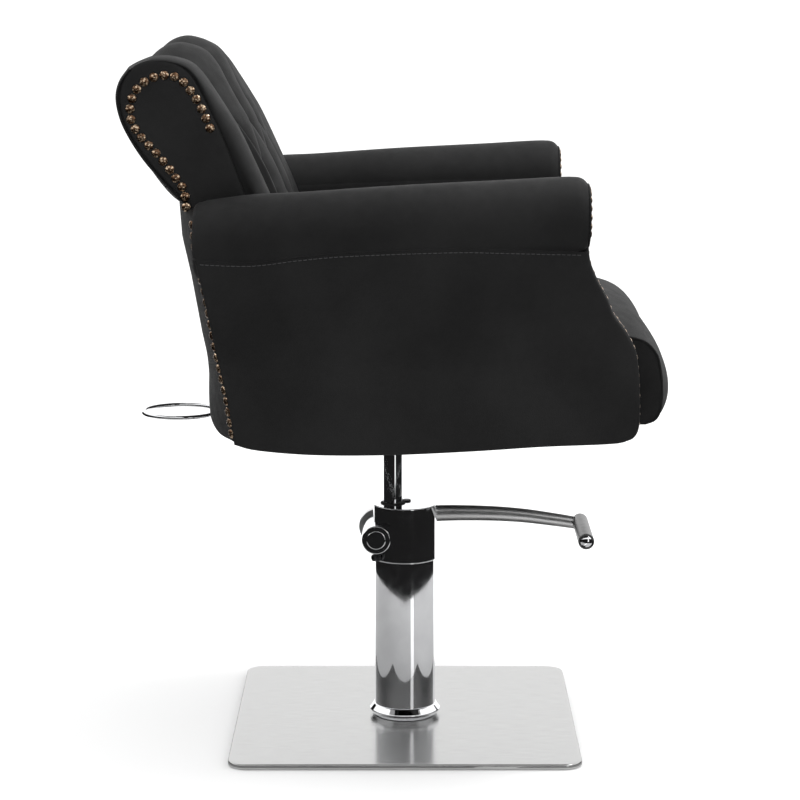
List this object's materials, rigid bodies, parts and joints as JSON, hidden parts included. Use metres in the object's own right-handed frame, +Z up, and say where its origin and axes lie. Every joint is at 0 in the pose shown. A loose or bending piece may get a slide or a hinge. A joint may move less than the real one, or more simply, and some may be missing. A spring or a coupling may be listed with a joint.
{
  "type": "styling chair",
  "caption": "Salon styling armchair with rolled arms and a scrolled buttoned back, on a hydraulic pump with a foot pedal and a square steel base.",
  "frame": {"origin": "on the floor, at the middle of the base plate and under the column's axis", "axes": "+Z up, -Y the way the sitter faces, X across the chair"},
  "size_m": [0.684, 0.6969, 0.913],
  "materials": {
    "polished_chrome": "polished",
    "brushed_cover": "satin",
    "dark_steel": "satin",
    "black_rubber": "matte",
    "frame_wood": "matte",
    "underside_cloth": "matte",
    "cover_leather": "satin",
    "padded_upholstery": "satin",
    "antique_brass": "satin"
  },
  "bodies": {
    "base": {"floor_pad": "black_rubber", "base_plate": "dark_steel", "base_cover": "brushed_cover", "pump_foot": "dark_steel", "foot_bolt_1": "dark_steel", "foot_bolt_2": "dark_steel", "foot_bolt_3": "dark_steel", "foot_bolt_4": "dark_steel", "trim_ring": "polished_chrome", "reservoir_tube": "polished_chrome", "valve_block": "dark_steel", "working_cylinder": "dark_steel", "pump_barrel": "dark_steel", "pump_head": "polished_chrome", "guide_bush": "dark_steel", "wiper_seal": "black_rubber", "oil_plug": "dark_steel", "stop_screw": "dark_steel", "stop_locknut": "dark_steel"},
    "pedal": {"cross_shaft": "polished_chrome", "shaft_collar": "polished_chrome", "crank_arm": "dark_steel", "lever_arm": "polished_chrome", "pedal_bar": "polished_chrome", "pedal_plug": "polished_chrome"},
    "plunger": {"pump_plunger": "dark_steel", "plunger_spring": "dark_steel"},
    "lift": {"lift_piston": "dark_steel", "piston_seal": "black_rubber"},
    "seat": {"ram_rod": "polished_chrome", "seat_bracket": "dark_steel", "seat_bolt_1": "dark_steel", "seat_bolt_2": "dark_steel", "seat_bolt_3": "dark_steel", "seat_bolt_4": "dark_steel", "dust_cover": "underside_cloth", "seat_board": "frame_wood", "seat_cushion": "padded_upholstery", "arm_roll_right": "padded_upholstery", "arm_roll_left": "padded_upholstery", "arm_frame_right": "frame_wood", "arm_frame_left": "frame_wood", "side_cover_right": "cover_leather", "side_cover_left": "cover_leather", "inner_arm_pad_right": "padded_upholstery", "inner_arm_pad_left": "padded_upholstery", "arm_facing_right": "cover_leather", "arm_facing_left": "cover_leather", "rear_cover": "cover_leather", "scroll_cover": "cover_leather", "back_panel": "frame_wood", "back_bottom_rail": "frame_wood", "back_top_rail": "frame_wood", "back_cushion": "padded_upholstery", "scroll_side_right": "cover_leather", "scroll_side_left": "cover_leather", "dryer_ring": "polished_chrome", "ring_bracket": "dark_steel"}
  },
  "joints": [
    {"name": "ram_lift", "type": "slide", "parent": "base", "child": "lift", "axis": [0, 0, 1], "range_m": [-0.065, 0.08]},
    {"name": "seat_swivel", "type": "hinge", "parent": "lift", "child": "seat", "pos_m": [0, 0.016, 0.4], "axis": [0, 0, 1], "continuous": true},
    {"name": "pedal_pivot", "type": "hinge", "parent": "base", "child": "pedal", "pos_m": [0, 0.038, 0.254], "axis": [1, 0, 0], "range_deg": [0, 20], "stiffness_Nm_per_rad": 6, "springref_deg": -34.38},
    {"name": "plunger_slide", "type": "slide", "parent": "base", "child": "plunger", "axis": [0, 0, -1], "range_m": [0, 0.0106], "deforming": ["plunger_spring"]}
  ],
  "couplings": [
    {"joint": "plunger_slide", "follows": "pedal_pivot", "m_per_rad": 0.03}
  ]
}
